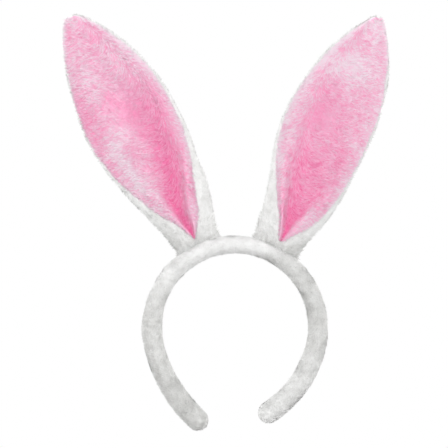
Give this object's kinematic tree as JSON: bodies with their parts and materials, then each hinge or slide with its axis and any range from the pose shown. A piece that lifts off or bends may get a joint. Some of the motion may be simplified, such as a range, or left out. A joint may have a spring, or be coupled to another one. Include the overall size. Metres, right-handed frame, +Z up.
{
  "type": "animal ears headband",
  "caption": "C-shaped padded plush headband with two upright cupped rabbit ears, white outside and pink inside, bendable at their roots.",
  "frame": {"origin": "centre of the round part of the head opening, on the band's middle plane", "axes": "+Z up as worn, towards the ears; -Y is the front, where the ears' pink faces look; +X is to the right seen from the front"},
  "size_m": [0.2527, 0.0262, 0.3249],
  "materials": {
    "band_core": "springy matt plastic strip",
    "foam": "soft open-cell foam padding",
    "white_plush": "short soft velvety pile, slightly mottled",
    "pink_plush": "short crushed plush pile",
    "wadding": "polyester wadding",
    "wire": "bendable soft steel wire",
    "white_thread": "polyester sewing thread",
    "pink_thread": "polyester sewing thread",
    "glue": "hot-melt glue"
  },
  "bodies": {
    "crown": {"band_core_crown": "band_core", "foam_crown": "foam", "sleeve_crown": "white_plush", "sleeve_seam_crown": "white_thread", "left_ear_root": "white_plush", "left_glue_pad": "glue", "left_root_stitches": "white_thread", "right_ear_root": "white_plush", "right_glue_pad": "glue", "right_root_stitches": "white_thread"},
    "left_arm": {"band_core_left": "band_core", "foam_left": "foam", "sleeve_left": "white_plush", "sleeve_seam_left": "white_thread", "tip_stitches_left": "white_thread"},
    "left_ear": {"left_ear_back_panel": "white_plush", "left_ear_front_panel": "pink_plush", "left_ear_wadding": "wadding", "left_ear_wire": "wire", "left_ear_edge_seam": "pink_thread"},
    "right_arm": {"band_core_right": "band_core", "foam_right": "foam", "sleeve_right": "white_plush", "sleeve_seam_right": "white_thread", "tip_stitches_right": "white_thread"},
    "right_ear": {"right_ear_back_panel": "white_plush", "right_ear_front_panel": "pink_plush", "right_ear_wadding": "wadding", "right_ear_wire": "wire", "right_ear_edge_seam": "pink_thread"}
  },
  "joints": [
    {"name": "left_arm_flex", "type": "hinge", "parent": "crown", "child": "left_arm", "pos_m": [-0.06081, 0, 0.03929], "axis": [0, 1, 0], "range_deg": [0, 18], "stiffness_Nm_per_rad": 1.1},
    {"name": "right_arm_flex", "type": "hinge", "parent": "crown", "child": "right_arm", "pos_m": [0.06081, 0, 0.03929], "axis": [0, -1, 0], "range_deg": [0, 18], "stiffness_Nm_per_rad": 1.1},
    {"name": "left_ear_bend", "type": "hinge", "parent": "crown", "child": "left_ear", "pos_m": [-0.03055, 0, 0.06553], "axis": [0.9063, 0, 0.4226], "range_deg": [-40, 65]},
    {"name": "right_ear_bend", "type": "hinge", "parent": "crown", "child": "right_ear", "pos_m": [0.03282, 0, 0.06442], "axis": [0.891, 0, -0.454], "range_deg": [-40, 65]}
  ],
  "couplings": [
    {"joint": "right_arm_flex", "follows": "left_arm_flex", "ratio": 1}
  ]
}
